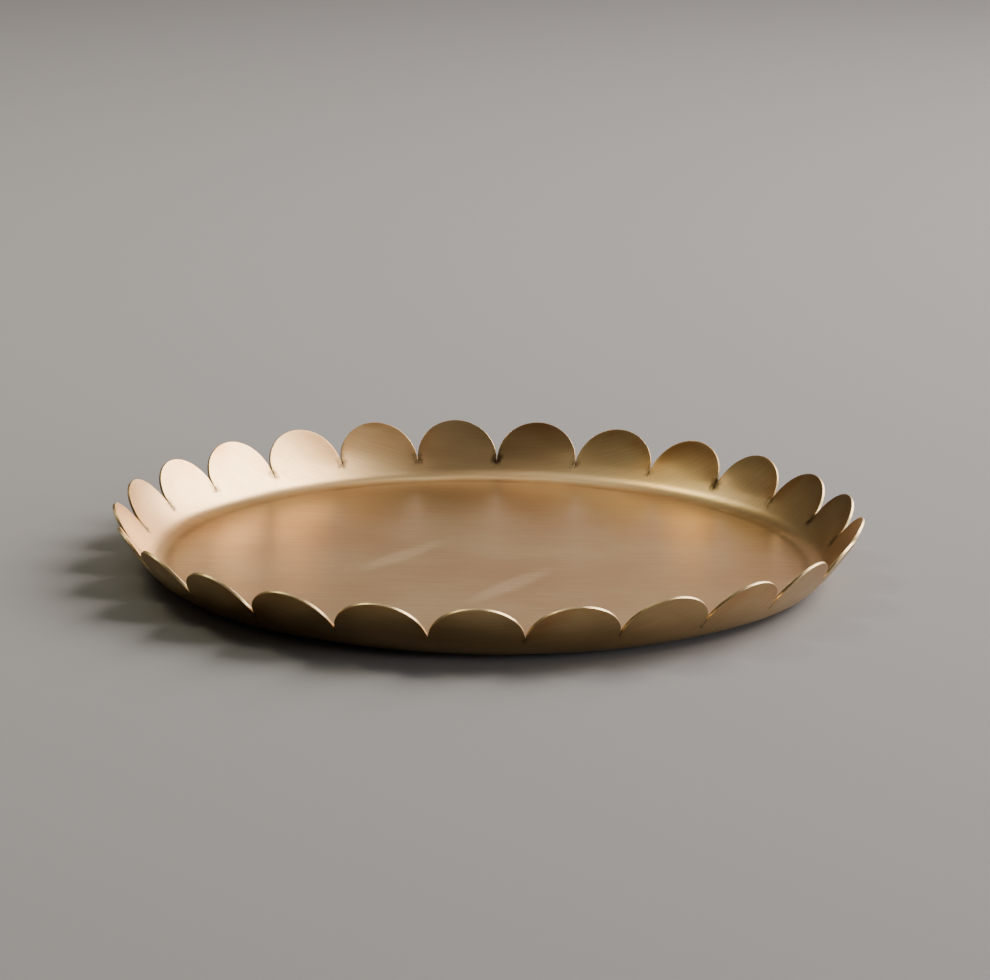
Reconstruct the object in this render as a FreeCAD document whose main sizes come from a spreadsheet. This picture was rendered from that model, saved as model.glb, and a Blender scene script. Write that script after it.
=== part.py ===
import FreeCAD, Part
import math
import os

import Sketcher

# Scalloped brass tray.
#
# One disc of brass sheet is spun to a shallow dish: a flat floor, a corner and a flaring wall.
# The rim is then cut into equal round petals, and a saw slit runs a little way into the wall
# between each two petals. Four self-adhesive felt pads under the floor carry the tray.
#
# Frame: millimetres, +Z up, origin in the plane that the tray stands on, under its centre.
# The middle of one petal lies on -Y.

doc = FreeCAD.newDocument("scalloped_tray")

# ---------------------------------------------------------------- driving dimensions

SIZES = [
    ("petal_count", 25, "petals around the rim"),
    ("sheet_gauge", 1.2, "thickness of the brass sheet"),
    ("floor_radius", 127.5, "radius of the flat part of the floor, underside"),
    ("corner_radius", 12.0, "outside radius where the floor turns into the wall"),
    ("corner_angle", 48.0, "slope of the wall where the corner ends, degrees"),
    ("flare_radius", 112.0, "outside radius of the wall above the corner"),
    ("flare_angle", 13.0, "how much steeper the wall gets up to the edge of the blank, degrees"),
    ("petal_root_height", 8.1, "height above the underside where two petals meet"),
    ("petal_tip_height", 23.7, "height of the petal tips above the underside"),
    ("slit_width", 0.5, "width of the saw slit between two petals"),
    ("slit_rise", 4.0, "length of the slit upwards from the petals' root"),
    ("trim_depth", 16.0, "depth of the trimming cuts through the wall"),
    ("trim_margin", 6.0, "how far the trimming cut reaches beyond the petal tips"),
    ("trim_overlap", 0.2, "how far a trimming cut reaches past the petal's side, into the slit"),
    ("pad_count", 4, "felt pads under the floor"),
    ("pad_radius", 10.0, "radius of a felt pad"),
    ("pad_thickness", 2.0, "thickness of a felt pad"),
    ("pad_circle_radius", 95.0, "distance of the pads from the tray's centre"),
]

sizes = doc.addObject("Spreadsheet::Sheet", "sizes")
for row, (alias, value, note) in enumerate(SIZES, start=1):
    sizes.set(f"A{row}", alias)
    sizes.set(f"B{row}", str(value))
    sizes.set(f"C{row}", note)
    sizes.setAlias(f"B{row}", alias)
doc.recompute()


def size(alias):
    """The value of one driving dimension."""
    return float(sizes.get(alias))


# ---------------------------------------------------------------- helpers


def origin_feature(body, role):
    """One of a body's own origin planes or axes."""
    return next(item for item in body.Origin.OriginFeatures if item.Role == role)


def new_sketch(body, name, role, offset=FreeCAD.Placement()):
    """A sketch on one of the body's origin planes, moved from it by offset."""
    sketch = body.newObject("Sketcher::SketchObject", name)
    sketch.AttachmentSupport = [(origin_feature(body, role), "")]
    sketch.MapMode = "FlatFace"
    sketch.AttachmentOffset = offset
    return sketch


def constrain(sketch, kind, *where, bound_to=None):
    """Adds a constraint, and binds its value to a formula of the driving dimensions."""
    index = sketch.addConstraint(Sketcher.Constraint(kind, *where))
    if bound_to:
        sketch.setExpression(f"Constraints[{index}]", bound_to)


def line(start, end):
    return Part.LineSegment(FreeCAD.Vector(*start, 0), FreeCAD.Vector(*end, 0))


def arc(centre, radius, first_degrees, last_degrees):
    circle = Part.Circle(FreeCAD.Vector(*centre, 0), FreeCAD.Vector(0, 0, 1), radius)
    return Part.ArcOfCircle(circle, math.radians(first_degrees), math.radians(last_degrees))


def finish_cut(body, feature, name):
    """Makes a cutting feature the body's tip, and stops if it takes no metal away."""
    before = body.Shape.copy()
    body.Tip = feature
    doc.recompute()
    tool = feature.AddSubShape.copy()
    tool.Placement = feature.Placement * tool.Placement
    if before.common(tool).Volume < 0.5:
        raise RuntimeError(f"{name} cuts nothing")


# ---------------------------------------------------------------- the wall's curve

START, END, CENTRE = 1, 2, 3

corner_angle = math.radians(size("corner_angle"))
corner_end_radius = size("floor_radius") + size("corner_radius") * math.sin(corner_angle)
corner_end_height = size("corner_radius") * (1 - math.cos(corner_angle))


def wall_at(height):
    """Radius and slope, in degrees, of the wall's outside at a height above the corner."""
    slope = math.acos(math.cos(corner_angle) - (height - corner_end_height) / size("flare_radius"))
    radius = corner_end_radius + size("flare_radius") * (math.sin(slope) - math.sin(corner_angle))
    return radius, math.degrees(slope)


# ---------------------------------------------------------------- the spun blank

tray = doc.addObject("PartDesign::Body", "tray")
tray.Label = "tray"

profile = new_sketch(tray, "sheet_section", "XZ_Plane")
gauge = size("sheet_gauge")
floor_end = (size("floor_radius"), 0.0)
corner_centre = (size("floor_radius"), size("corner_radius"))
flare_centre = (
    corner_end_radius - size("flare_radius") * math.sin(corner_angle),
    corner_end_height + size("flare_radius") * math.cos(corner_angle),
)
corner_end = size("corner_angle") - 90
flare_end = corner_end + size("flare_angle")

underside = profile.addGeometry(line((0, 0), floor_end))
outer_corner = profile.addGeometry(arc(corner_centre, size("corner_radius"), -90, corner_end))
outer_wall = profile.addGeometry(arc(flare_centre, size("flare_radius"), corner_end, flare_end))
inner_wall = profile.addGeometry(arc(flare_centre, size("flare_radius") - gauge, corner_end, flare_end))
inner_corner = profile.addGeometry(arc(corner_centre, size("corner_radius") - gauge, -90, corner_end))
floor_top = profile.addGeometry(line((size("floor_radius"), gauge), (0, gauge)))
axis_side = profile.addGeometry(line((0, gauge), (0, 0)))
wall_points = [profile.getPoint(inner_wall, END), profile.getPoint(outer_wall, END)]
rim_edge = profile.addGeometry(line(*[(point.x, point.y) for point in wall_points]))

constrain(profile, "Coincident", underside, START, -1, 1)
constrain(profile, "Horizontal", underside)
constrain(profile, "Horizontal", floor_top)
constrain(profile, "Vertical", axis_side)
constrain(profile, "Coincident", axis_side, END, underside, START)
constrain(profile, "Coincident", axis_side, START, floor_top, END)
constrain(profile, "Tangent", underside, END, outer_corner, START)
constrain(profile, "Tangent", outer_corner, END, outer_wall, START)
constrain(profile, "Tangent", floor_top, START, inner_corner, START)
constrain(profile, "Coincident", inner_corner, CENTRE, outer_corner, CENTRE)
constrain(profile, "Coincident", inner_wall, CENTRE, outer_wall, CENTRE)
constrain(profile, "Tangent", inner_corner, END, inner_wall, START)
constrain(profile, "Coincident", inner_wall, END, rim_edge, START)
constrain(profile, "DistanceX", underside, size("floor_radius"), bound_to="sizes.floor_radius")
constrain(profile, "Radius", outer_corner, size("corner_radius"), bound_to="sizes.corner_radius")
constrain(profile, "Radius", outer_wall, size("flare_radius"), bound_to="sizes.flare_radius")
constrain(profile, "Angle", outer_corner, corner_angle, bound_to="sizes.corner_angle * 1deg")
constrain(profile, "Angle", outer_wall, math.radians(size("flare_angle")),
          bound_to="sizes.flare_angle * 1deg")
constrain(profile, "Perpendicular", outer_wall, END, rim_edge, END)
constrain(profile, "DistanceY", underside, END, floor_top, START, gauge, bound_to="sizes.sheet_gauge")
doc.recompute()

blank = tray.newObject("PartDesign::Revolution", "spun_blank")
blank.Profile = profile
blank.ReferenceAxis = (origin_feature(tray, "Z_Axis"), [""])
blank.Angle = 360
tray.Tip = blank
doc.recompute()

# ---------------------------------------------------------------- petals cut into the rim

# The trimming cut for one petal is square to the wall. Its sketch lies on the outside of the
# wall at half the petal's height: x runs round the rim and y runs up the slope.

half_sector = math.pi / size("petal_count")
root_radius, root_slope = wall_at(size("petal_root_height"))
tip_radius, _ = wall_at(size("petal_tip_height"))
middle_height = (size("petal_root_height") + size("petal_tip_height")) / 2
middle_radius, middle_slope = wall_at(middle_height)


def on_trim_plane(radius, height):
    """How far up the petal's sketch a point in the petal's middle plane lies."""
    along = math.cos(math.radians(middle_slope)) * (radius - middle_radius)
    return along + math.sin(math.radians(middle_slope)) * (height - middle_height)


def on_wall(radius, height, slope, turn=0.0):
    """An offset from the XZ plane to a plane on the wall that faces -Y, turned about Z."""
    around = FreeCAD.Placement(FreeCAD.Vector(), FreeCAD.Rotation(FreeCAD.Vector(0, 1, 0), turn))
    lean = FreeCAD.Rotation(FreeCAD.Vector(1, 0, 0), 90 - slope)
    return around * FreeCAD.Placement(FreeCAD.Vector(0, height, radius), lean)


petal_radius = root_radius * math.sin(half_sector)
root_y = on_trim_plane(root_radius * math.cos(half_sector), size("petal_root_height"))
tip_y = on_trim_plane(tip_radius, size("petal_tip_height"))
shoulder_y = tip_y - petal_radius
top_y = tip_y + size("trim_margin")
overlap = size("trim_overlap")
widening = (top_y - shoulder_y) * math.cos(math.radians(middle_slope)) * math.tan(half_sector)

trim = new_sketch(tray, "petal_outline", "XZ_Plane", on_wall(middle_radius, middle_height, middle_slope))
corners = [
    (-petal_radius - overlap, shoulder_y),
    (-petal_radius - overlap - widening, top_y),
    (petal_radius + overlap + widening, top_y),
    (petal_radius + overlap, shoulder_y),
    (petal_radius, shoulder_y),
    (-petal_radius, shoulder_y),
]
trim_edges = [trim.addGeometry(line(corners[i], corners[i + 1])) for i in range(4)]
petal_arc = trim.addGeometry(arc((0, shoulder_y), petal_radius, 0, 180))
trim_edges.append(trim.addGeometry(line(corners[5], corners[0])))
for i in range(3):
    constrain(trim, "Coincident", trim_edges[i], END, trim_edges[i + 1], START)
constrain(trim, "Coincident", trim_edges[3], END, petal_arc, START)
constrain(trim, "Coincident", petal_arc, END, trim_edges[4], START)
constrain(trim, "Coincident", trim_edges[4], END, trim_edges[0], START)
constrain(trim, "Horizontal", trim_edges[3])
constrain(trim, "Horizontal", petal_arc, START, petal_arc, CENTRE)
constrain(trim, "Horizontal", petal_arc, END, petal_arc, CENTRE)
constrain(trim, "PointOnObject", petal_arc, CENTRE, -2)
constrain(trim, "Radius", petal_arc, petal_radius)
constrain(trim, "DistanceY", petal_arc, CENTRE, shoulder_y)
constrain(trim, "Symmetric", trim_edges[0], START, trim_edges[2], END, -2)
constrain(trim, "Symmetric", trim_edges[1], START, trim_edges[1], END, -2)
constrain(trim, "DistanceX", trim_edges[3], END, trim_edges[3], START, overlap,
          bound_to="sizes.trim_overlap")
constrain(trim, "DistanceY", petal_arc, CENTRE, trim_edges[0], END, top_y - shoulder_y)
constrain(trim, "DistanceX", trim_edges[1], START, trim_edges[1], END,
          2 * (petal_radius + overlap + widening))

petal_cut = tray.newObject("PartDesign::Pocket", "petal_cut")
petal_cut.Profile = trim
petal_cut.Type = "Length"
petal_cut.Midplane = True
petal_cut.setExpression("Length", "sizes.trim_depth")
finish_cut(tray, petal_cut, "the trimming of the petals")

# The saw slit between two petals. Its sketch lies on the wall at the petals' root.

slit = new_sketch(
    tray,
    "slit_outline",
    "XZ_Plane",
    on_wall(root_radius, size("petal_root_height"), root_slope, math.degrees(half_sector)),
)
half_slit = size("slit_width") / 2
left_side = slit.addGeometry(line((-half_slit, size("slit_rise")), (-half_slit, 0)))
round_end = slit.addGeometry(arc((0, 0), half_slit, 180, 360))
right_side = slit.addGeometry(line((half_slit, 0), (half_slit, size("slit_rise"))))
open_end = slit.addGeometry(line((half_slit, size("slit_rise")), (-half_slit, size("slit_rise"))))
constrain(slit, "Tangent", left_side, END, round_end, START)
constrain(slit, "Tangent", round_end, END, right_side, START)
constrain(slit, "Coincident", right_side, END, open_end, START)
constrain(slit, "Coincident", open_end, END, left_side, START)
constrain(slit, "Coincident", round_end, CENTRE, -1, 1)
constrain(slit, "Vertical", left_side)
constrain(slit, "Horizontal", open_end)
constrain(slit, "Radius", round_end, half_slit, bound_to="sizes.slit_width / 2")
constrain(slit, "DistanceY", left_side, END, left_side, START, size("slit_rise"),
          bound_to="sizes.slit_rise")

slit_cut = tray.newObject("PartDesign::Pocket", "slit_cut")
slit_cut.Profile = slit
slit_cut.Type = "Length"
slit_cut.Midplane = True
slit_cut.setExpression("Length", "sizes.trim_depth")
finish_cut(tray, slit_cut, "the slit")

ring = tray.newObject("PartDesign::PolarPattern", "all_petals")
ring.Originals = [petal_cut, slit_cut]
ring.Axis = (origin_feature(tray, "Z_Axis"), [""])
ring.Angle = 360
ring.setExpression("Occurrences", "sizes.petal_count")
tray.Tip = ring
doc.recompute()
cut_from_one_petal = blank.Shape.Volume - petal_cut.Shape.Volume
if blank.Shape.Volume - tray.Shape.Volume < 0.95 * size("petal_count") * cut_from_one_petal:
    raise RuntimeError("the pattern leaves petals out")
tray.setExpression("Placement.Base.z", "sizes.pad_thickness")

# ---------------------------------------------------------------- felt pads


def felt_pad(name, angle):
    """One round self-adhesive felt pad under the floor, at an angle round the tray."""
    pad = doc.addObject("PartDesign::Body", name)
    pad.Label = name
    outline = new_sketch(pad, name + "_outline", "XY_Plane")
    disc = Part.Circle(FreeCAD.Vector(), FreeCAD.Vector(0, 0, 1), size("pad_radius"))
    edge = outline.addGeometry(disc)
    constrain(outline, "Coincident", edge, CENTRE, -1, 1)
    constrain(outline, "Radius", edge, size("pad_radius"), bound_to="sizes.pad_radius")
    felt = pad.newObject("PartDesign::Pad", name + "_felt")
    felt.Profile = outline
    felt.setExpression("Length", "sizes.pad_thickness")
    pad.Tip = felt
    pad.setExpression("Placement.Base.x", f"sizes.pad_circle_radius * cos({angle}deg)")
    pad.setExpression("Placement.Base.y", f"sizes.pad_circle_radius * sin({angle}deg)")
    return pad


pads = []
for number in range(int(size("pad_count"))):
    pads.append(felt_pad(f"felt_pad_{number + 1}", (number + 0.5) * 360 / size("pad_count")))

# ---------------------------------------------------------------- check and write

doc.recompute()
for item in doc.Objects:
    if "Invalid" in item.State or "Error" in item.State:
        raise RuntimeError(f"{item.Name} did not recompute: {item.State}")

os.makedirs("parts", exist_ok=True)
for piece in [tray] + pads:
    shape = piece.Shape
    if shape.isNull() or not shape.isValid() or len(shape.Solids) != 1:
        raise RuntimeError(f"{piece.Label} is not one valid solid")
    shape.exportStep(f"parts/{piece.Label}.step")
    box = shape.BoundBox
    print(f"{piece.Label}: {shape.Volume / 1000:.2f} cm3, x {box.XMin:.2f} to {box.XMax:.2f}, "
          f"y {box.YMin:.2f} to {box.YMax:.2f}, z {box.ZMin:.2f} to {box.ZMax:.2f}")
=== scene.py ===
import math
import random

import bmesh
import bpy
from mathutils import Matrix, Vector, noise


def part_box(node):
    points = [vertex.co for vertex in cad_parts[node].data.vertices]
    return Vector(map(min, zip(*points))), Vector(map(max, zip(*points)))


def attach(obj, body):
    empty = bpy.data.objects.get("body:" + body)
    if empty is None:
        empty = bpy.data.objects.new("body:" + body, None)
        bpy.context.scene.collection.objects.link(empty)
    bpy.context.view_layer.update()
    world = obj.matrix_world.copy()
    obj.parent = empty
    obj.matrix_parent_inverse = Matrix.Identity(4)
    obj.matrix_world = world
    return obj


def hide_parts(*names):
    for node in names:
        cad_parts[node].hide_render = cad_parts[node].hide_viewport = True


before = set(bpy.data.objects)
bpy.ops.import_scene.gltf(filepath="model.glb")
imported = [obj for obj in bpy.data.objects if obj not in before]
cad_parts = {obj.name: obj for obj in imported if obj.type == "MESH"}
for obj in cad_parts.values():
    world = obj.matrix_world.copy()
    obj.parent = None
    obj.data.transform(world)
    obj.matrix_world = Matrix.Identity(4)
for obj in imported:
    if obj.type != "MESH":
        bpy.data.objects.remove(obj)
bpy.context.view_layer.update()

# ---------------------------------------------------------------- the tray
# One disc of 1.2 mm brass sheet, brushed in straight lines and pressed to a shallow dish. Its rim
# is cut into round petals by hand, with a fine saw slit into the wall between each two, and the
# metal is a little bent and tarnished round the end of each slit.

PETALS = 25
HALF_SECTOR = math.pi / PETALS
SHEET = 0.0012
FLOOR_RADIUS = 0.1275
CORNER_RADIUS = 0.012
CORNER_SLOPE = math.radians(48)
FLARE_RADIUS = 0.112
ROOT_HEIGHT = 0.0081
TIP_HEIGHT = 0.0237
SLIT_WIDTH = 0.00022

tray_low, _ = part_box("tray")


def wall(along):
    """Radius, height and slope of the sheet's outside, so far along it from the floor's edge."""
    corner_slope = min(along / CORNER_RADIUS, CORNER_SLOPE)
    slope = corner_slope + max(0, along - CORNER_RADIUS * CORNER_SLOPE) / FLARE_RADIUS
    radius = FLOOR_RADIUS + CORNER_RADIUS * math.sin(corner_slope)
    radius += FLARE_RADIUS * (math.sin(slope) - math.sin(corner_slope))
    height = CORNER_RADIUS * (1 - math.cos(corner_slope))
    height += FLARE_RADIUS * (math.cos(corner_slope) - math.cos(slope))
    return radius, height, slope


def along_at(height):
    """How far along the sheet from the floor's edge the wall reaches a height."""
    corner_height = CORNER_RADIUS * (1 - math.cos(CORNER_SLOPE))
    slope = math.acos(math.cos(CORNER_SLOPE) - (height - corner_height) / FLARE_RADIUS)
    return CORNER_RADIUS * CORNER_SLOPE + FLARE_RADIUS * (slope - CORNER_SLOPE)


root = along_at(ROOT_HEIGHT)
tip = along_at(TIP_HEIGHT)
petal_radius = wall(root)[0] * math.sin(HALF_SECTOR) - SLIT_WIDTH / 2
shoulder = tip - petal_radius
middle_radius, _, middle_slope = wall((root + tip) / 2)


def cone_sag(sideways):
    """How much further up its edges lie than its middle, as the petal was cut flat."""
    return sideways ** 2 / (2 * middle_radius) * math.cos(middle_slope)


def smooth_step(value):
    """A value from 0 to 1, eased in and out."""
    value = max(0.0, min(1.0, value))
    return value * value * (3 - 2 * value)


COLUMNS = 20
WALL_ROWS = 16
PETAL_ROWS = 10
SHOULDER_ROW = WALL_ROWS / (WALL_ROWS + PETAL_ROWS)
HIGH_SIDE = math.radians(122)   # where the oval line of the cut stands highest
OVAL_CUT = 0.0009               # half of how far that line sinks elsewhere
MEAN_TRIM = 0.975               # a petal's length against that of a half circle
FRONT_TRIM = 0.035              # how much shorter the front petals are, and longer the back ones
HAND_TRIM = 0.012               # and how far each one strays
HAND_BEND = (-0.2, 0.9)         # degrees that a petal is pushed out or in
HAND_TWIST = (-1.2, 1.2)        # degrees that it is turned out of true
HAND_CUPPING = (-0.0004, 0.0002)
LOOSE_RISE = 0.009              # how far above its slits a petal bends freely
CREASE_DEPTH = 0.00008          # the crease that sawing leaves at a slit's end
CREASE_REACH = 0.0032
TARNISH_REACH = 0.0028
SLIT_SIDE_TARNISH = 0.45        # tarnish creeps further up the slit's sides by this factor
EDGE_LIMIT = 0.01               # the cut edge's wear and stains end within this distance of it
MILLIMETRES = 1000
WELD = 0.00002                  # points nearer to each other than this become one

hand = random.Random(25)
creases = [hand.uniform(-CREASE_DEPTH, CREASE_DEPTH) for _ in range(PETALS)]
blotches = [hand.uniform(0.55, 1.0) for _ in range(PETALS)]


def cut_line(angle):
    """How far the line of the petals' shoulders strays up or down the wall at an angle round it."""
    return OVAL_CUT * (math.cos(2 * (angle - HIGH_SIDE)) - 1)


def cut_petal(sheet, number):
    """Adds one sector of the wall with its petal: a grid whose upper rows spread to a half disc."""
    centre_angle = -math.pi / 2 + 2 * HALF_SECTOR * number
    bend = math.radians(hand.uniform(*HAND_BEND))
    twist = math.radians(hand.uniform(*HAND_TWIST))
    cupping = hand.uniform(*HAND_CUPPING)
    trim = MEAN_TRIM + FRONT_TRIM * math.sin(centre_angle) + hand.uniform(-HAND_TRIM, HAND_TRIM)
    trim = min(1.0, trim)
    rows = WALL_ROWS + PETAL_ROWS
    grid = bmesh.ops.create_grid(sheet, x_segments=COLUMNS, y_segments=rows, size=1)
    for vert in grid["verts"]:
        across = vert.co.x
        rise = (vert.co.y + 1) / 2
        turned = centre_angle + HALF_SECTOR * across
        petal_foot = shoulder + cut_line(turned)
        if rise <= SHOULDER_ROW + 1e-6:
            along = rise / SHOULDER_ROW * (petal_foot + cone_sag(petal_radius * across))
            half_width = wall(along)[0] * math.sin(HALF_SECTOR)
            if along > root + cut_line(turned):
                half_width -= SLIT_WIDTH / 2
            sideways = half_width * across
            from_edge = half_width - abs(sideways) if along > root else EDGE_LIMIT
        else:
            spread = (rise - SHOULDER_ROW) / (1 - SHOULDER_ROW)
            sideways = petal_radius * across * math.sqrt(1 - spread ** 2 / 2)
            up = petal_radius * spread * math.sqrt(1 - across ** 2 / 2)
            from_edge = petal_radius - math.hypot(sideways, up)
            along = petal_foot + trim * up + cone_sag(sideways)
        radius, height, slope = wall(along)
        angle = centre_angle + math.asin(sideways / radius)
        slit_end = root + cut_line(turned)
        free = max(0.0, along - slit_end)
        loose = smooth_step(free / LOOSE_RISE)
        to_slit = radius * math.sin(HALF_SECTOR) - abs(sideways)
        slit = number if sideways < 0 else (number + 1) % PETALS
        near_slit_end = math.exp(-((along - slit_end) / (1.6 * CREASE_REACH)) ** 2)
        lift = loose * (bend * free + twist * sideways)
        lift += loose * cupping * ((sideways / petal_radius) ** 2 - 0.5)
        lift += creases[slit] * math.exp(-(to_slit / CREASE_REACH) ** 2) * near_slit_end
        radius -= lift * math.sin(slope)
        height += lift * math.cos(slope)
        vert.co = (radius * math.cos(angle), radius * math.sin(angle), tray_low.z + height)
        above_end = along - slit_end
        below_or_beside = min(0.0, above_end) + SLIT_SIDE_TARNISH * max(0.0, above_end)
        to_slit_end = math.hypot(to_slit, below_or_beside)
        vert[tarnish_layer] = blotches[slit] * math.exp(-(to_slit_end / TARNISH_REACH) ** 2)
        vert[edge_layer] = min(from_edge, EDGE_LIMIT) * MILLIMETRES
        flat_radius = FLOOR_RADIUS + along
        vert[flat_layer] = (flat_radius * math.cos(angle), flat_radius * math.sin(angle), 0)


FLOOR_RINGS = 20
LEVEL = 1e-5        # points this close to the floor's height are on it


def dress_floor(sheet):
    """Fills the dish inwards from the lowest row of the wall, ring by ring, to the centre."""
    rim = [
        e for e in sheet.edges
        if e.is_boundary and max(v.co.z for v in e.verts) < tray_low.z + LEVEL
    ]
    for ring in range(1, FLOOR_RINGS):
        grown = bmesh.ops.extrude_edge_only(sheet, edges=rim)["geom"]
        scale = (1 - ring / FLOOR_RINGS) / (1 - (ring - 1) / FLOOR_RINGS)
        ring_verts = [item for item in grown if isinstance(item, bmesh.types.BMVert)]
        bmesh.ops.scale(sheet, verts=ring_verts, vec=(scale, scale, 1))
        rim = [
            item for item in grown
            if isinstance(item, bmesh.types.BMEdge) and all(v in ring_verts for v in item.verts)
        ]
    centre = bmesh.ops.contextual_create(sheet, geom=rim)["faces"]
    bmesh.ops.poke(sheet, faces=centre)


BROAD_WAVES = 14            # waves per metre, and their height
BROAD_RISE = 0.00016
FINE_WAVES = 38
FINE_RISE = 0.00006
CORNER_RISE = 0.0002        # the fine waves are deeper where the press bent the corner
CORNER_MIDDLE = 0.131
CORNER_REACH = 0.006


def hand_wave(x, y):
    """The slight rise and fall that pressing and handling leave in a thin sheet."""
    broad = noise.noise(Vector((x * BROAD_WAVES, y * BROAD_WAVES, 0.3)))
    fine = noise.noise(Vector((x * FINE_WAVES, y * FINE_WAVES, 4.7)))
    at_corner = math.exp(-((math.hypot(x, y) - CORNER_MIDDLE) / CORNER_REACH) ** 2)
    return BROAD_RISE * broad + (FINE_RISE + CORNER_RISE * at_corner) * fine


sheet = bmesh.new()
tarnish_layer = sheet.verts.layers.float.new("slit_tarnish")
edge_layer = sheet.verts.layers.float.new("from_edge")
flat_layer = sheet.verts.layers.float_vector.new("flat_sheet")
for number in range(PETALS):
    cut_petal(sheet, number)
bmesh.ops.remove_doubles(sheet, verts=sheet.verts, dist=WELD)
dress_floor(sheet)
for vert in sheet.verts:
    if math.hypot(vert.co.x, vert.co.y) < FLOOR_RADIUS - 0.0001:
        vert[edge_layer] = EDGE_LIMIT * MILLIMETRES
        vert[tarnish_layer] = 0
        vert[flat_layer] = (vert.co.x, vert.co.y, 0)
    vert.co.z += hand_wave(vert.co.x, vert.co.y)
bmesh.ops.recalc_face_normals(sheet, faces=sheet.faces)
lowest = min(sheet.faces, key=lambda face: face.calc_center_median().xy.length)
if lowest.normal.z > 0:
    bmesh.ops.reverse_faces(sheet, faces=sheet.faces)
for face in sheet.faces:
    face.smooth = True
tray_mesh = bpy.data.meshes.new("brass_tray")
sheet.to_mesh(tray_mesh)
sheet.free()
tray = bpy.data.objects.new("brass_tray", tray_mesh)
bpy.context.scene.collection.objects.link(tray)

gauge = tray.modifiers.new("gauge", "SOLIDIFY")
gauge.thickness = SHEET
gauge.offset = -1
gauge.material_offset = 1
gauge.material_offset_rim = 2
filed = tray.modifiers.new("filed_edges", "BEVEL")
filed.width = 0.0002
filed.segments = 2
filed.limit_method = "ANGLE"
filed.angle_limit = math.radians(50)
filed.use_clamp_overlap = False
shading = tray.modifiers.new("even_shading", "WEIGHTED_NORMAL")
shading.keep_sharp = True


def new_material(name):
    """An empty node material and its shader."""
    material = bpy.data.materials.new(name)
    material.use_nodes = True
    nodes = material.node_tree.nodes
    nodes.clear()
    shader = nodes.new("ShaderNodeBsdfPrincipled")
    output = nodes.new("ShaderNodeOutputMaterial")
    material.node_tree.links.new(shader.outputs["BSDF"], output.inputs["Surface"])
    return material, shader


def own_place(tree):
    """A point's place on the piece."""
    return tree.nodes.new("ShaderNodeTexCoord").outputs["Object"]


def flat_place(tree):
    """A point's place on the flat sheet, before it was pressed."""
    node = tree.nodes.new("ShaderNodeAttribute")
    node.attribute_name = "flat_sheet"
    return node.outputs["Vector"]


def stretched_noise(tree, place, scale, detail=2.0, shift=(0.0, 0.0, 0.0)):
    """Noise on a place, stretched by a scale for each axis."""
    mapping = tree.nodes.new("ShaderNodeMapping")
    mapping.inputs["Scale"].default_value = scale
    mapping.inputs["Location"].default_value = shift
    pattern = tree.nodes.new("ShaderNodeTexNoise")
    pattern.inputs["Scale"].default_value = 1.0
    pattern.inputs["Detail"].default_value = detail
    tree.links.new(place, mapping.inputs["Vector"])
    tree.links.new(mapping.outputs["Vector"], pattern.inputs["Vector"])
    return pattern.outputs["Fac"]


def ranged(tree, value, low, high, to_low=0.0, to_high=1.0):
    """A value's range low to high, spread over to_low to to_high."""
    node = tree.nodes.new("ShaderNodeMapRange")
    node.inputs["From Min"].default_value = low
    node.inputs["From Max"].default_value = high
    node.inputs["To Min"].default_value = to_low
    node.inputs["To Max"].default_value = to_high
    tree.links.new(value, node.inputs["Value"])
    return node.outputs["Result"]


def math_node(tree, operation, first, second):
    """One Math node on two sockets, or on a socket and a number."""
    node = tree.nodes.new("ShaderNodeMath")
    node.operation = operation
    for index, item in enumerate((first, second)):
        if isinstance(item, (int, float)):
            node.inputs[index].default_value = item
        else:
            tree.links.new(item, node.inputs[index])
    return node.outputs[0]


def tinted(tree, amount, first, second):
    """Mixes two colours, each a socket or a plain colour, by an amount."""
    node = tree.nodes.new("ShaderNodeMix")
    node.data_type = "RGBA"
    tree.links.new(amount, node.inputs["Factor"])
    for name, item in (("A", first), ("B", second)):
        socket = next(s for s in node.inputs if s.name == name and s.type == "RGBA")
        if isinstance(item, tuple):
            socket.default_value = (*item, 1)
        else:
            tree.links.new(item, socket)
    return next(s for s in node.outputs if s.type == "RGBA")


def attribute(tree, name):
    """A number painted on the mesh's points."""
    node = tree.nodes.new("ShaderNodeAttribute")
    node.attribute_name = name
    return node.outputs["Fac"]


BRASS = (0.80, 0.56, 0.275)
WARM_BRASS = (0.73, 0.43, 0.185)
AGED_BRASS = (0.70, 0.50, 0.235)
BROWNED_BRASS = (0.56, 0.38, 0.175)
STAIN = (0.60, 0.29, 0.10)
# dark tarnish colour, also used for the painted shade along the floor's corner
TARNISH_AND_SHADE = (0.085, 0.05, 0.022)
WIPED = (0.86, 0.69, 0.50)
WORN_BRASS = (0.60, 0.44, 0.25)

# Each mark is its centre on the flat sheet, its turn in degrees and its half length and half width.
WIPE_MARKS = (((-0.035, 0.000), 57, (0.030, 0.006)), ((0.010, -0.040), 59, (0.033, 0.006)))
BROWNED_TIP = ((-0.060, 0.155), 20, (0.013, 0.007))
# where and how wide the painted line of shade along the floor's corner lies
SHADE_RADIUS = FLOOR_RADIUS + 0.0002
SHADE_REACH = 0.0028

# Repeats per metre along and across the brush lines, for each pattern on the sheet.
LONG_LINES = (22, 1300, 0)
HAIR_LINES = (70, 4200, 0)
CLOUDS = (13, 18, 0)
STAINS = (34, 34, 0)
CORNER_SHADE = (30, 30, 0)
SLIT_GRIME = (520, 520, 520)
FILE_MARKS = (900, 900, 900)
BRUSH_DEPTH = 0.00003
BRUSH_STRENGTH = 0.16
DULL_LINES, BRIGHT_LINES = 0.36, 0.29       # roughness in and between the brush lines
WIPED_DULLER = 0.16
WIPED_AMOUNT = 0.50


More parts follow.
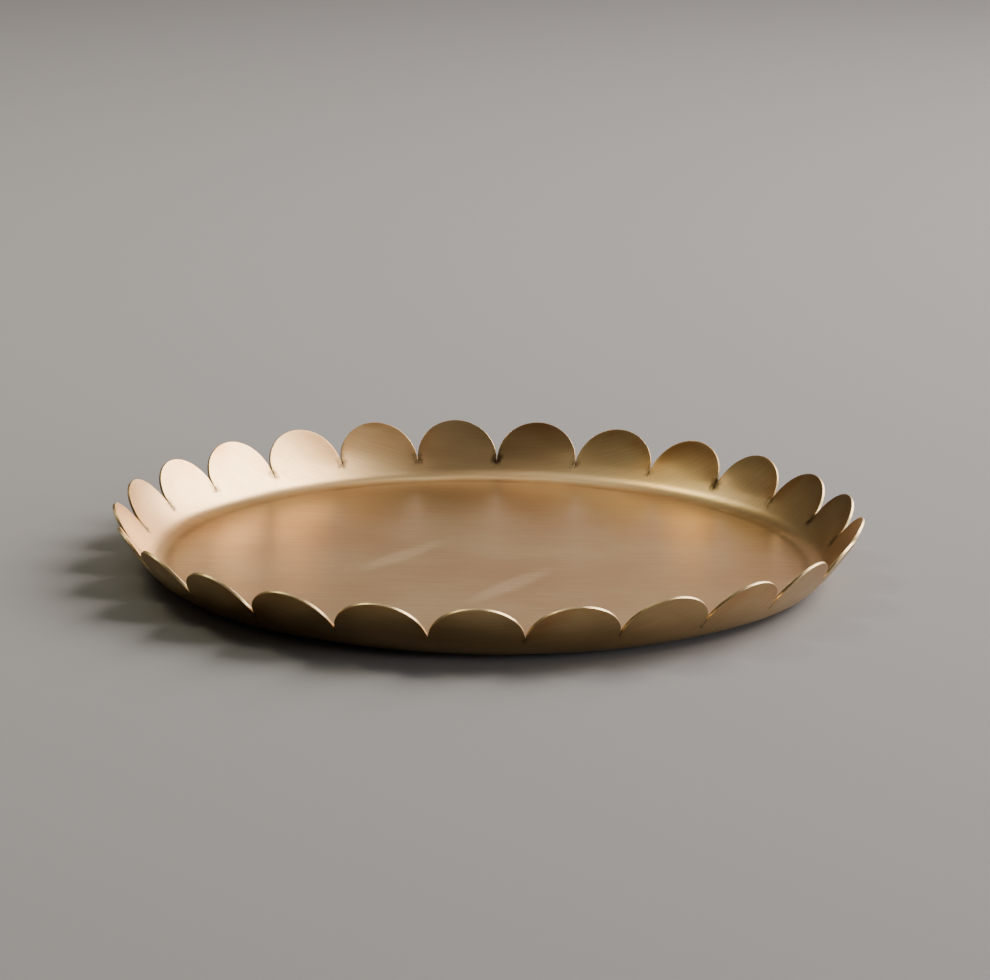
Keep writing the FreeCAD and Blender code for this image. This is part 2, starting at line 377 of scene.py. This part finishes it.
def soft_mark(tree, centre, turn, half_size):
    """The mask of one soft oval mark on the flat sheet."""
    mapping = tree.nodes.new("ShaderNodeMapping")
    mapping.vector_type = "TEXTURE"
    mapping.inputs["Location"].default_value = (*centre, 0)
    mapping.inputs["Rotation"].default_value = (0, 0, math.radians(turn))
    mapping.inputs["Scale"].default_value = (*half_size, 1)
    away = tree.nodes.new("ShaderNodeVectorMath")
    away.operation = "LENGTH"
    tree.links.new(flat_place(tree), mapping.inputs["Vector"])
    tree.links.new(mapping.outputs["Vector"], away.inputs[0])
    return ranged(tree, away.outputs["Value"], 1.15, 0.6)


def slit_tarnish(tree, clean_below):
    """Dark, uneven tarnish round the ends of the slits."""
    grime = stretched_noise(tree, own_place(tree), SLIT_GRIME, 3.0)
    uneven = ranged(tree, grime, 0.3, 0.7, -0.22, 0.12)
    amount = math_node(tree, "ADD", attribute(tree, "slit_tarnish"), uneven)
    return ranged(tree, amount, clean_below, clean_below + 0.5, 0.0, 0.92)


def corner_shade(tree):
    """A thin uneven painted dark line of shade where the floor turns up into the wall."""
    flat = flat_place(tree)
    radius = tree.nodes.new("ShaderNodeVectorMath")
    radius.operation = "LENGTH"
    tree.links.new(flat, radius.inputs[0])
    outwards = radius.outputs["Value"]
    line = math_node(tree, "MULTIPLY",
                     ranged(tree, outwards, SHADE_RADIUS - SHADE_REACH, SHADE_RADIUS),
                     ranged(tree, outwards, SHADE_RADIUS + SHADE_REACH, SHADE_RADIUS))
    uneven = ranged(tree, stretched_noise(tree, flat, CORNER_SHADE, 3.0), 0.36, 0.62, 0.06, 0.5)
    return math_node(tree, "MULTIPLY", line, uneven)


def brushed_brass(name, clean, browned, clean_below):
    """Old brushed brass: straight brush lines, cloudy patina, stains, tarnish at the slits and a
    painted line of shade along the corner.
    """
    material, shader = new_material(name)
    tree = material.node_tree
    flat = flat_place(tree)
    long_lines = stretched_noise(tree, flat, LONG_LINES, 3.0)
    hair_lines = stretched_noise(tree, flat, HAIR_LINES, 2.0, (3, 0, 0))
    clouds = stretched_noise(tree, flat, CLOUDS, 4.0)
    lines = math_node(tree, "ADD", math_node(tree, "MULTIPLY", long_lines, 0.5),
                      math_node(tree, "MULTIPLY", hair_lines, 0.5))
    colour = tinted(tree, ranged(tree, clouds, 0.35, 0.65), clean, browned)
    near_tip = ranged(tree, attribute(tree, "from_edge"), 9.0, 2.0)
    stains = stretched_noise(tree, flat, STAINS, 3.0, (0.4, 0.1, 0))
    stain = math_node(tree, "MULTIPLY", near_tip, ranged(tree, stains, 0.46, 0.66, 0.0, 0.8))
    stain = math_node(tree, "MAXIMUM", stain, soft_mark(tree, *BROWNED_TIP))
    colour = tinted(tree, stain, colour, STAIN)
    colour = tinted(tree, ranged(tree, lines, 0.62, 0.38, 0.0, 0.20), colour, TARNISH_AND_SHADE)
    wiped = None
    for centre, turn, half_size in WIPE_MARKS:
        mark = soft_mark(tree, centre, turn, half_size)
        wiped = mark if wiped is None else math_node(tree, "MAXIMUM", wiped, mark)
    wiped = math_node(tree, "MULTIPLY", wiped, ranged(tree, long_lines, 0.38, 0.6, 0.25, 1.0))
    colour = tinted(tree, math_node(tree, "MULTIPLY", wiped, WIPED_AMOUNT), colour, WIPED)
    # painted shade: a dark line along the corner between floor and wall
    colour = tinted(tree, corner_shade(tree), colour, TARNISH_AND_SHADE)
    colour = tinted(tree, slit_tarnish(tree, clean_below), colour, TARNISH_AND_SHADE)
    tree.links.new(colour, shader.inputs["Base Color"])
    shader.inputs["Metallic"].default_value = 1.0
    polish = ranged(tree, lines, 0.3, 0.7, DULL_LINES, BRIGHT_LINES)
    duller = math_node(tree, "MULTIPLY", wiped, WIPED_DULLER)
    roughness = math_node(tree, "ADD", polish, duller)
    tree.links.new(roughness, shader.inputs["Roughness"])
    shader.inputs["Anisotropic"].default_value = 0.1
    bump = tree.nodes.new("ShaderNodeBump")
    bump.inputs["Strength"].default_value = BRUSH_STRENGTH
    bump.inputs["Distance"].default_value = BRUSH_DEPTH
    tree.links.new(lines, bump.inputs["Height"])
    tree.links.new(bump.outputs["Normal"], shader.inputs["Normal"])
    brushing = tree.nodes.new("ShaderNodeCombineXYZ")
    brushing.inputs["Y"].default_value = 1.0
    tree.links.new(brushing.outputs["Vector"], shader.inputs["Tangent"])
    return material


def cut_edge_brass():
    """The sawn and filed edge of the sheet, rubbed brighter than its faces."""
    material, shader = new_material("cut_edge_brass")
    tree = material.node_tree
    file_marks = stretched_noise(tree, own_place(tree), FILE_MARKS, 2.0)
    colour = tinted(tree, ranged(tree, file_marks, 0.3, 0.7), WORN_BRASS, AGED_BRASS)
    colour = tinted(tree, slit_tarnish(tree, 0.3), colour, TARNISH_AND_SHADE)
    tree.links.new(colour, shader.inputs["Base Color"])
    shader.inputs["Metallic"].default_value = 1.0
    tree.links.new(ranged(tree, file_marks, 0.3, 0.7, 0.32, 0.45), shader.inputs["Roughness"])
    return material


tray_mesh.materials.append(brushed_brass("aged_outside", AGED_BRASS, BROWNED_BRASS, 0.5))
tray_mesh.materials.append(brushed_brass("brushed_inside", BRASS, WARM_BRASS, 0.2))
tray_mesh.materials.append(cut_edge_brass())
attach(tray, "root")
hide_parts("tray")

# ---------------------------------------------------------------- the felt pads
# Four round pads of pressed wool felt, stuck under the floor with their own adhesive so that the
# brass doesn't scratch the table. The die leaves their edges a little soft.


def felt(name, colour, dark):
    """Pressed wool felt, with darker patches and fibres."""
    material, shader = new_material(name)
    tree = material.node_tree
    fibres = stretched_noise(tree, own_place(tree), (2600, 2600, 2600), 4.0)
    patches = stretched_noise(tree, own_place(tree), (160, 160, 160), 3.0)
    shade = tinted(tree, ranged(tree, patches, 0.35, 0.65), colour, dark)
    shade = tinted(tree, ranged(tree, fibres, 0.62, 0.35, 0.0, 0.6), shade, dark)
    tree.links.new(shade, shader.inputs["Base Color"])
    shader.inputs["Roughness"].default_value = 0.95
    shader.inputs["Sheen Weight"].default_value = 0.4
    bump = tree.nodes.new("ShaderNodeBump")
    bump.inputs["Strength"].default_value = 0.8
    bump.inputs["Distance"].default_value = 0.0002
    tree.links.new(fibres, bump.inputs["Height"])
    tree.links.new(bump.outputs["Normal"], shader.inputs["Normal"])
    return material


pad_felt = felt("pad_felt", (0.16, 0.135, 0.11), (0.07, 0.055, 0.045))
PAD_NAMES = [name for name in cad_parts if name.startswith("felt_pad")]
SOFT_EDGE = 0.0005
FUZZ_DEPTH = 0.012
FUZZ_PER_METRE = 1800


def punch_pad(node):
    """One pad: a disc with a soft lower edge and a slightly fuzzy side, in its own place."""
    low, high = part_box(node)
    centre = (low + high) / 2
    radius = (high.x - low.x) / 2
    disc = bmesh.new()
    bmesh.ops.create_cone(disc, cap_ends=True, segments=120, radius1=radius, radius2=radius,
                          depth=high.z - low.z)
    lower_edge = [
        e for e in disc.edges
        if all(v.co.z < 0 for v in e.verts) and len(e.link_faces) == 2
    ]
    bmesh.ops.bevel(disc, geom=lower_edge, offset=SOFT_EDGE, segments=4, profile=0.5,
                    affect="EDGES", material=-1)
    for vert in disc.verts:
        fuzz = 1 - FUZZ_DEPTH * (0.5 + 0.5 * noise.noise(vert.co * FUZZ_PER_METRE))
        vert.co = (vert.co.x * fuzz, vert.co.y * fuzz, vert.co.z)
    bmesh.ops.translate(disc, verts=disc.verts, vec=centre)
    for face in disc.faces:
        face.smooth = True
    mesh = bpy.data.meshes.new(node + "_felt")
    disc.to_mesh(mesh)
    disc.free()
    mesh.materials.append(pad_felt)
    pad = bpy.data.objects.new(node + "_felt", mesh)
    bpy.context.scene.collection.objects.link(pad)
    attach(pad, "root")
    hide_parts(node)


for node in PAD_NAMES:
    punch_pad(node)

# ---------------------------------------------------------------- the studio
# A plain pale floor, a large soft window to the right, dimmer soft lights overhead and a pale wall
# far behind, in an otherwise dark room. The brass shows what is round it.

FLOOR_SIZE = 12.0
PALE_PAPER = (0.26, 0.247, 0.246)

ground = bmesh.new()
bmesh.ops.create_grid(ground, x_segments=1, y_segments=1, size=FLOOR_SIZE / 2)
ground_mesh = bpy.data.meshes.new("studio_floor")
ground.to_mesh(ground_mesh)
ground.free()
paper, paper_shader = new_material("pale_paper")
paper_shader.inputs["Base Color"].default_value = (*PALE_PAPER, 1)
paper_shader.inputs["Roughness"].default_value = 0.9
ground_mesh.materials.append(paper)
studio_floor = bpy.data.objects.new("studio_floor", ground_mesh)
bpy.context.scene.collection.objects.link(studio_floor)


def soft_light(name, place, target, width, height, watts, colour):
    """A rectangular soft light at a place, turned towards a target."""
    lamp = bpy.data.lights.new(name, "AREA")
    lamp.shape = "RECTANGLE"
    lamp.size = width
    lamp.size_y = height
    lamp.energy = watts
    lamp.color = colour
    light = bpy.data.objects.new(name, lamp)
    light.location = place
    light.rotation_euler = (Vector(target) - Vector(place)).to_track_quat("-Z", "Y").to_euler()
    bpy.context.scene.collection.objects.link(light)


HANG = 1.7          # height of the overhead lights above the table
SIDE = 1.6          # how far to the right the window stands


def beside(name, along, height, width, tall, watts, colour):
    """A light standing to the right of the tray and facing it."""
    soft_light(name, (SIDE, along, height), (0, along, height), width, tall, watts, colour)


def over(name, across, along, width, deep, watts, colour):
    """A light hung over the table, facing straight down."""
    soft_light(name, (across, along, HANG), (across, along, 0), width, deep, watts, colour)


beside("window", 1.10, 1.65, 2.6, 1.9, 175, (1.0, 0.95, 0.91))
beside("low_front", -0.675, 0.375, 0.65, 0.65, 16, (0.92, 0.95, 1.0))
over("over_left", -1.02, 0.52, 0.45, 0.5, 8.2, (1.0, 0.97, 0.60))
over("over_far_left", -1.50, 0.95, 0.5, 0.5, 3.0, (1.0, 0.96, 0.85))
over("over_near", -0.45, 0.2, 0.9, 1.0, 2.4, (1.0, 1.0, 1.0))
over("over_right", 0.95, 0.40, 0.45, 0.45, 5.5, (1.0, 0.97, 0.92))
over("over_back", 0.025, 1.15, 0.95, 0.6, 2.0, (1.0, 0.98, 0.88))

DARK_ROOM = (0.060, 0.056, 0.052)
PALE_WALL = (0.90, 0.76, 0.68)

world = bpy.data.worlds.new("room")
world.use_nodes = True
bpy.context.scene.world = world
room = world.node_tree
direction = room.nodes.new("ShaderNodeTexCoord")
parts = room.nodes.new("ShaderNodeSeparateXYZ")
room.links.new(direction.outputs["Generated"], parts.inputs["Vector"])
back_wall = math_node(room, "MULTIPLY", ranged(room, parts.outputs["Y"], -0.1, 0.6),
                      ranged(room, parts.outputs["Z"], 0.48, 0.26))
back_wall = math_node(room, "MULTIPLY", back_wall, ranged(room, parts.outputs["X"], -0.35, 0.0))
room_light = tinted(room, back_wall, DARK_ROOM, PALE_WALL)
room.links.new(room_light, room.nodes["Background"].inputs["Color"])

# ---------------------------------------------------------------- the camera

CAMERA_DISTANCE = 1.262
CAMERA_HEIGHT = 0.3453
CAMERA_TURN = math.radians(1.467)
CAMERA_PITCH = math.radians(13.636)
CAMERA_YAW = math.radians(-0.067)
CAMERA_ROLL = math.radians(0.757)

CAMERA_LENS = 118.55
CAMERA_SHIFT = (0.0102, -0.0197)

lens = bpy.data.cameras.new("camera")
lens.sensor_width = 36
lens.lens = CAMERA_LENS
lens.shift_x, lens.shift_y = CAMERA_SHIFT
lens.clip_end = 50
camera = bpy.data.objects.new("camera", lens)
turn = Matrix.Rotation(CAMERA_TURN, 4, "Z")
aim = Matrix.Rotation(-CAMERA_YAW, 4, "Z") @ Matrix.Rotation(math.pi / 2 - CAMERA_PITCH, 4, "X")
camera.matrix_world = (
    turn
    @ Matrix.Translation((0, -CAMERA_DISTANCE, CAMERA_HEIGHT))
    @ aim
    @ Matrix.Rotation(CAMERA_ROLL, 4, "Z")
)
bpy.context.scene.collection.objects.link(camera)
bpy.context.scene.camera = camera
